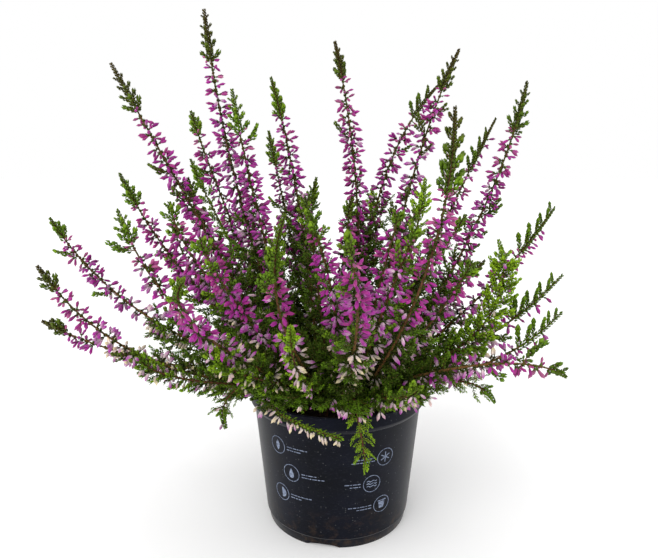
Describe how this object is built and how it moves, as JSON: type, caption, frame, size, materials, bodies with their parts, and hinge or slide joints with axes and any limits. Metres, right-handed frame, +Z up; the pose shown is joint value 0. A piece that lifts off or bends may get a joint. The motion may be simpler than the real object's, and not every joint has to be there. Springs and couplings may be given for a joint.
{
  "type": "potted heather",
  "caption": "Common heather with magenta bud spikes and green leafy shoots, growing from soil in a round black nursery pot.",
  "frame": {"origin": "middle of the pot's base, on the surface that the pot stands on", "axes": "+Z up along the pot's axis; -Y towards the viewer's side, where one foot notch is; +X to the right"},
  "size_m": [0.345, 0.2945, 0.342],
  "materials": {
    "pot_plastic": "satin black, dusty and scuffed",
    "peat": "rough damp peat with bark crumbs",
    "heather_bud": "dry satin sepals, magenta fading to cream",
    "heather_leaf": "small scale leaves, satin green",
    "heather_wood": "fine reddish bark"
  },
  "bodies": {
    "root": {"pot": "pot_plastic", "potting_soil": "peat", "flowering_spray_01": "heather_bud", "flowering_spray_02": "heather_bud", "flowering_spray_03": "heather_bud", "flowering_spray_04": "heather_bud", "flowering_spray_05": "heather_bud", "flowering_spray_06": "heather_bud", "flowering_spray_07": "heather_bud", "flowering_spray_08": "heather_bud", "flowering_spray_09": "heather_bud", "flowering_spray_10": "heather_bud", "flowering_spray_11": "heather_bud", "flowering_spray_12": "heather_bud", "flowering_spray_13": "heather_bud", "flowering_spray_14": "heather_bud", "flowering_spray_15": "heather_bud", "flowering_spray_16": "heather_bud", "flowering_spray_17": "heather_bud", "flowering_spray_18": "heather_bud", "flowering_spray_19": "heather_bud", "flowering_spray_20": "heather_bud", "flowering_spray_21": "heather_bud", "flowering_spray_22": "heather_bud", "flowering_spray_23": "heather_bud", "flowering_spray_24": "heather_bud", "flowering_spray_25": "heather_bud", "flowering_spray_26": "heather_bud", "flowering_spray_27": "heather_bud", "flowering_spray_28": "heather_bud", "flowering_spray_29": "heather_bud", "flowering_spray_30": "heather_bud", "flowering_spray_31": "heather_bud", "flowering_spray_32": "heather_bud", "flowering_spray_33": "heather_bud", "flowering_spray_34": "heather_bud", "flowering_spray_35": "heather_bud", "flowering_spray_36": "heather_bud", "flowering_spray_37": "heather_bud", "flowering_spray_38": "heather_bud", "flowering_spray_39": "heather_bud", "flowering_spray_40": "heather_bud", "flowering_spray_41": "heather_bud", "leafy_shoot_01": "heather_leaf", "leafy_shoot_02": "heather_leaf", "leafy_shoot_03": "heather_leaf", "leafy_shoot_04": "heather_leaf", "leafy_shoot_05": "heather_leaf", "leafy_shoot_06": "heather_leaf", "leafy_shoot_07": "heather_leaf", "leafy_shoot_08": "heather_leaf", "leafy_shoot_09": "heather_leaf", "leafy_shoot_10": "heather_leaf", "leafy_shoot_11": "heather_leaf", "leafy_shoot_12": "heather_leaf", "leafy_shoot_13": "heather_leaf", "leafy_shoot_14": "heather_leaf", "leafy_shoot_15": "heather_leaf", "leafy_shoot_16": "heather_leaf", "leafy_shoot_17": "heather_leaf"}
  },
  "joints": []
}
